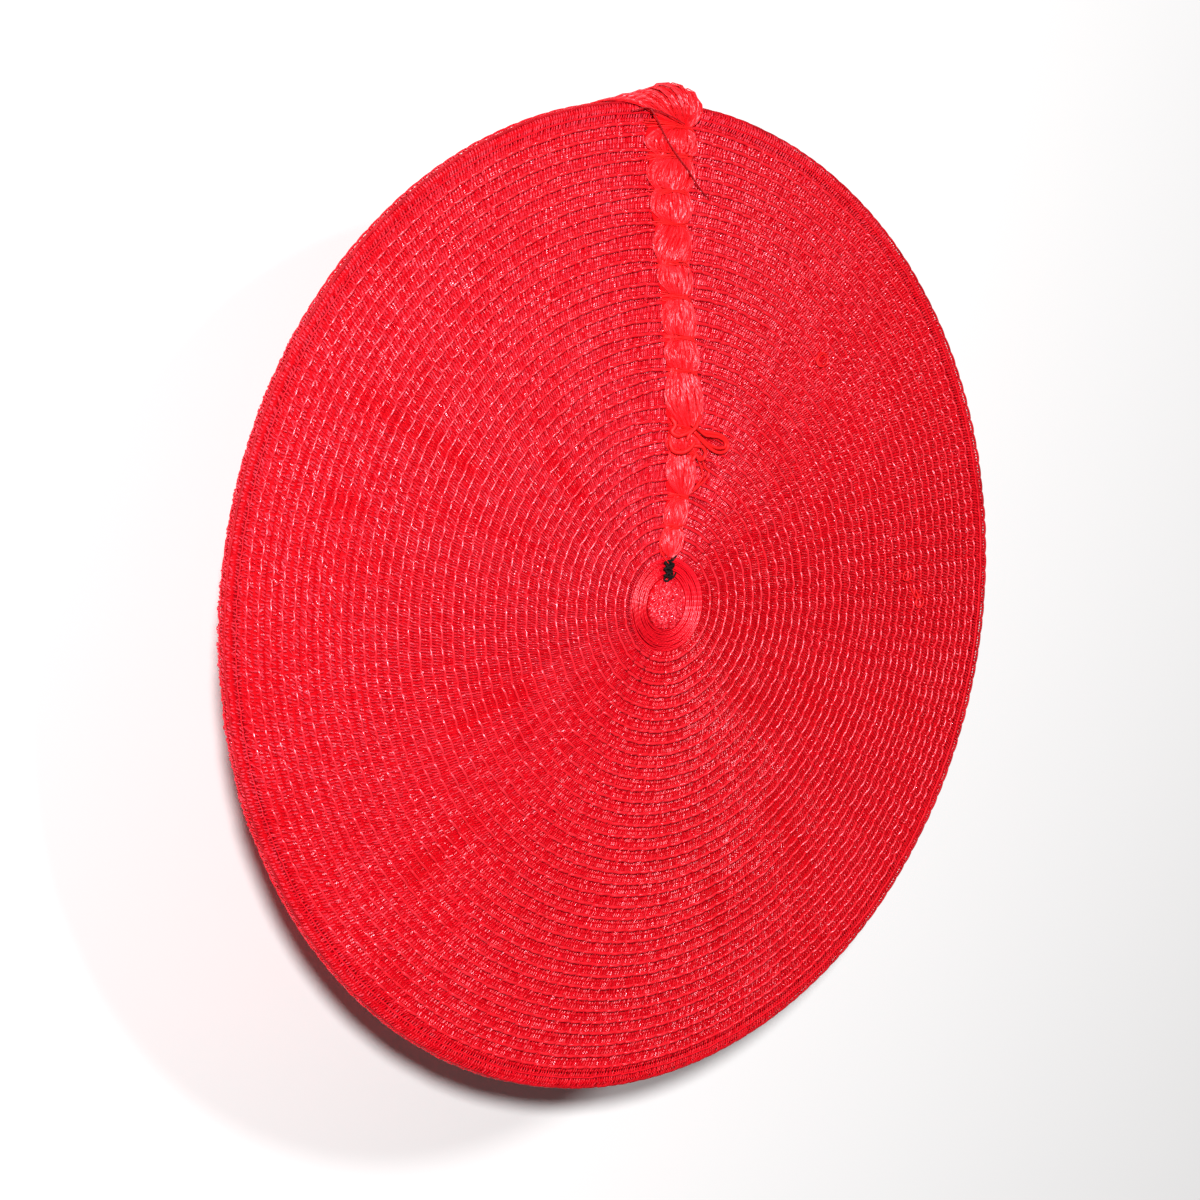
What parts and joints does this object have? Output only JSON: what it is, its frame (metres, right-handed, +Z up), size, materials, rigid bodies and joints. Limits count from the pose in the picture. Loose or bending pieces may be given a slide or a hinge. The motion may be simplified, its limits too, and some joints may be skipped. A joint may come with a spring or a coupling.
{
  "type": "zulu hat",
  "caption": "Wide red zulu hat: a gently domed disc of wound string with a rim cord, a flared wall to the head opening and a seam of loose yarn bunches.",
  "frame": {"origin": "middle of the hat's outline, on the ground it stands on", "axes": "+Z up along the hat's axis from the head opening to the crown, +Y along the seam of yarn bunches"},
  "size_m": [0.42, 0.4252, 0.1451],
  "materials": {
    "string_net": "knotted cotton string, matt with a soft sheen",
    "rim_string": "wound cotton string, soft sheen",
    "wall_string": "knotted cotton string, matt",
    "seam_yarn": "loose fluffy yarn, matt",
    "patch_wool": "matted wool, matt",
    "sewing_thread": "dark sewing thread, matt"
  },
  "bodies": {
    "root": {"crown_top": "string_net", "rim_cord": "rim_string", "side_wall": "wall_string", "seam_bunches": "seam_yarn", "centre_patch": "patch_wool", "centre_knot": "sewing_thread"}
  },
  "joints": []
}
